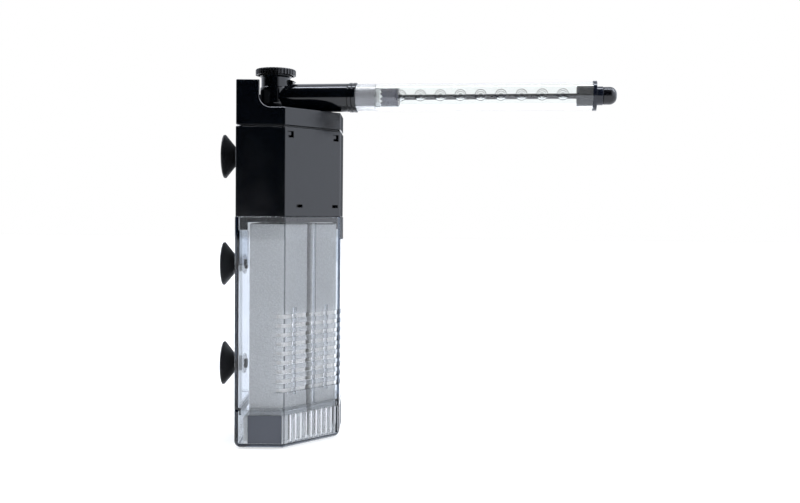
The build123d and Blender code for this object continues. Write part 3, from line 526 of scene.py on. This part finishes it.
def makeFoam():
    tree = makeFoamTree()
    for name, node in foamPieces["nodes"].items():
        piece = cleanCopy(name, node, flat=0)
        remesh = piece.modifiers.new("cells", "REMESH")
        remesh.mode = "VOXEL"
        remesh.voxel_size = foamPieces["voxel"]
        frozen(piece)
        applyTree(piece, tree, {"Material": materials[slotOf[node]]})
        piece.data.shade_smooth()
        adopt(piece, node)


makeFoam()
print("foam ready")

# Stator: a stack of sheets and two wound coils

stack = {"sheets": 26, "gap": 0.12 * mm}
winding = {"wire": 0.5 * mm, "turns": 13, "corner": 1.2 * mm, "sides": 6}


def makeStackTree(sheets, height):
    sizes = {"Sheets": sheets, "Pitch": height / sheets, "Material": None}
    tree, given, out = geometryTree("sheetStack", sizes)
    steps = addNode(tree, "ShaderNodeCombineXYZ", {"Z": given["Pitch"]}).outputs[0]
    line = addNode(tree, "GeometryNodeMeshLine", {"Count": given["Sheets"], "Offset": steps}).outputs[0]
    placed = {"Points": line, "Instance": given["Geometry"]}
    stacked = addNode(tree, "GeometryNodeInstanceOnPoints", placed).outputs[0]
    endTree(tree, stacked, given["Material"], out)
    return tree


def makeStator():
    low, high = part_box("stator_core")
    height = high.z - low.z
    pitch = height / stack["sheets"]
    sheet = cleanCopy("statorSheets", "stator_core")
    for vertex in sheet.data.vertices:
        share = (vertex.co.z - low.z) / height
        vertex.co.z = low.z + stack["gap"] / 2 + share * (pitch - stack["gap"])
    applyTree(sheet, makeStackTree(stack["sheets"], height), {"Material": materials["core_steel"]})
    adopt(sheet, "stator_core")


def makeWindingTree():
    tree, given, out = geometryTree("winding", {"Turns": 13, "Length": 1.0, "Width": 1.0, "Height": 1.0,
                                                "Corner": 1.0, "Wire": 1.0, "Sides": 6, "Material": None})
    loop = addNode(tree, "GeometryNodeCurvePrimitiveQuadrilateral",
                   {"Width": given["Width"], "Height": given["Height"]}).outputs[0]
    loop = addNode(tree, "GeometryNodeFilletCurve", {"Curve": loop, "Radius": given["Corner"], "Count": 3},
                   mode="POLY").outputs[0]
    radius = mathNode(tree, "DIVIDE", given["Wire"], 2.0)
    ring = addNode(tree, "GeometryNodeCurvePrimitiveCircle",
                   {"Resolution": given["Sides"], "Radius": radius}).outputs[0]
    turn = addNode(tree, "GeometryNodeCurveToMesh", {"Curve": loop, "Profile Curve": ring}).outputs[0]
    last = mathNode(tree, "SUBTRACT", given["Turns"], 1.0)
    step = mathNode(tree, "DIVIDE", mathNode(tree, "SUBTRACT", given["Length"], given["Wire"]), last)
    first = mathNode(tree, "MULTIPLY", mathNode(tree, "MULTIPLY", step, last), -0.5)
    start = addNode(tree, "ShaderNodeCombineXYZ", {"Z": first}).outputs[0]
    steps = addNode(tree, "ShaderNodeCombineXYZ", {"Z": step}).outputs[0]
    line = addNode(tree, "GeometryNodeMeshLine",
                   {"Count": given["Turns"], "Start Location": start, "Offset": steps}).outputs[0]
    turns = addNode(tree, "GeometryNodeInstanceOnPoints", {"Points": line, "Instance": turn}).outputs[0]
    endTree(tree, turns, given["Material"], out)
    return tree


def makeCoils():
    tree = makeWindingTree()
    for name, node in {"windingNear": "coil_near", "windingFar": "coil_far"}.items():
        # The coil's own axes: its length runs level at 45 degrees to the walls
        level = Matrix.Rotation(radians(45), 3, "Z")
        local = [level.inverted() @ vertex.co for vertex in nodes[node].data.vertices]
        low = Vector([min(point[i] for point in local) for i in range(3)])
        high = Vector([max(point[i] for point in local) for i in range(3)])
        size = high - low
        piece = addPiece(name, bpy.data.meshes.new(name))
        values = {"Turns": winding["turns"], "Length": size.x, "Width": size.y - winding["wire"],
                  "Height": size.z - winding["wire"], "Corner": winding["corner"], "Wire": winding["wire"],
                  "Sides": winding["sides"], "Material": materials["copper_wire"]}
        applyTree(piece, tree, values)
        # Winding is made about Z: turn Z to the coil's length, and its height upright
        aside = Matrix(((0, 0, 1), (1, 0, 0), (0, 1, 0)))
        turn = (level @ aside).to_4x4()
        piece.data.transform(Matrix.Translation(level @ ((low + high) / 2)) @ turn)
        adopt(piece, node)


makeStator()
makeCoils()
print("stator ready")

# Mouldings: the CAD shapes with the small rounded edges that a mould leaves

mouldings = {
    "canisterWall": ("canister_shell", 0.25),
    "intakeBase": ("intake_base", 0.3),
    "headHousing": ("motor_housing", 0.3),
    "headCover": ("pump_cover", 0.35),
    "outletElbow": ("outlet_elbow", 0.2),
    "flowKnob": ("flow_knob", 0.12),
    "sprayTube": ("spray_tube", 0.15),
    "tubeCollar": ("tube_collar", 0.2),
    "tubePlug": ("end_plug", 0.2),
    "barShuttle": ("flow_shuttle", 0.15),
    "sprayAdapter": ("spray_adapter", 0.15),
    "rodKnob": ("end_knob", 0.15),
}


def makeMouldings():
    for name, (node, width) in mouldings.items():
        adopt(softEdges(cleanCopy(name, node), width * mm), node)


def paintNodes():
    for node, piece in nodes.items():
        material = materials[slotOf[node]]
        for slot in piece.material_slots:
            slot.material = material
        if not piece.material_slots:
            piece.data.materials.append(material)


# Thin grey plates set into the base's two recessed panels

plates = {
    "inset": 0.25 * mm,
    "thick": 0.35 * mm,
    "edge": 0.1 * mm,
    "ends": (7.9 * mm, 27.6 * mm),     # from the body's square edge
    "levels": (3.2 * mm, 19.6 * mm),
}


def makePlates():
    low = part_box("intake_base")[0]
    z0, z1 = plates["levels"]
    start, end = plates["ends"]
    near = low.y + plates["inset"]
    corners = [(low.x + start, z0), (low.x + end, z0), (low.x + end, z1), (low.x + start, z1)]
    mesh = bpy.data.meshes.new("panelPlates")
    work = bmesh.new()
    for mirrored in (False, True):
        front = []
        back = []
        for x, z in corners:
            for y, row in ((near, front), (near + plates["thick"], back)):
                place = (-y, -x, z) if mirrored else (x, y, z)
                row.append(work.verts.new(place))
        work.faces.new(front)
        work.faces.new(back)
        for i in range(4):
            work.faces.new((front[i], front[i - 1], back[i - 1], back[i]))
    bmesh.ops.recalc_face_normals(work, faces=work.faces)
    work.to_mesh(mesh)
    work.free()
    piece = softEdges(addPiece("panelPlates", mesh), plates["edge"])
    piece.data.materials.append(materials["plate_grey"])
    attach(piece, bodyOf["intake_base"])


# Dark rings that outline each nozzle of the spray tube: painted shade standing in for the dark edges of the
# clear nozzles

shadeRims = {
    "count": 9,
    "pivot": (-11.6 * mm, 11.6 * mm),
    "turn": -8.7,               # degrees from +X
    "height": 207.3 * mm,
    "first": 78.8 * mm,         # along the bar, from the elbow's pivot
    "pitch": 11.865 * mm,
    "tip": 8.9 * mm,            # nozzle's mouth from the bar's axis
    "corners": 32,
    "sides": 8,
    "rings": {                  # radius, wire's radius, depth behind the mouth
        "outer": (3.2 * mm, 0.16 * mm, 0.18 * mm),
        "inner": (2.25 * mm, 0.12 * mm, 0.75 * mm),
        "jet": (1.05 * mm, 0.16 * mm, 1.0 * mm),
    },
}


def makeShadeRimTree():
    sizes = {"Count": shadeRims["count"], "Pitch": shadeRims["pitch"], "First": shadeRims["first"], "Radius": 1.0,
             "Wire": 1.0, "Depth": 1.0, "Corners": shadeRims["corners"], "Sides": shadeRims["sides"], "Material": None}
    tree, given, out = geometryTree("nozzleShadeRims", sizes)
    circle = addNode(tree, "GeometryNodeCurvePrimitiveCircle",
                     {"Resolution": given["Corners"], "Radius": given["Radius"]}).outputs[0]
    wire = addNode(tree, "GeometryNodeCurvePrimitiveCircle",
                   {"Resolution": given["Sides"], "Radius": given["Wire"]}).outputs[0]
    ring = addNode(tree, "GeometryNodeCurveToMesh", {"Curve": circle, "Profile Curve": wire}).outputs[0]
    turned = {"Geometry": ring, "Rotation": (pi / 2, 0, 0)}
    upright = addNode(tree, "GeometryNodeTransform", turned).outputs[0]
    start = addNode(tree, "ShaderNodeCombineXYZ", {"X": given["First"], "Y": given["Depth"]}).outputs[0]
    steps = addNode(tree, "ShaderNodeCombineXYZ", {"X": given["Pitch"]}).outputs[0]
    row = {"Count": given["Count"], "Start Location": start, "Offset": steps}
    line = addNode(tree, "GeometryNodeMeshLine", row).outputs[0]
    placed = addNode(tree, "GeometryNodeInstanceOnPoints", {"Points": line, "Instance": upright}).outputs[0]
    endTree(tree, placed, given["Material"], out)
    return tree


def makeShadeRims():
    # Near-black rings as painted shade at each nozzle's mouth, bore and jet
    tree = makeShadeRimTree()
    turn = Matrix.Rotation(radians(shadeRims["turn"]), 4, "Z")
    bar = Matrix.Translation((*shadeRims["pivot"], shadeRims["height"])) @ turn
    for name, (radius, wire, sunk) in shadeRims["rings"].items():
        piece = addPiece(f"nozzleShadeRims_{name}", bpy.data.meshes.new(name))
        values = {"Radius": radius, "Wire": wire, "Depth": sunk - shadeRims["tip"],
                  "Material": materials["grey_plastic"]}
        applyTree(piece, tree, values)
        piece.data.transform(bar)
        piece.data.shade_smooth()
        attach(piece, bodyOf["spray_tube"])


paintNodes()
makePlates()
makeShadeRims()
makeMouldings()
print("mouldings ready")

bpy.context.view_layer.update()
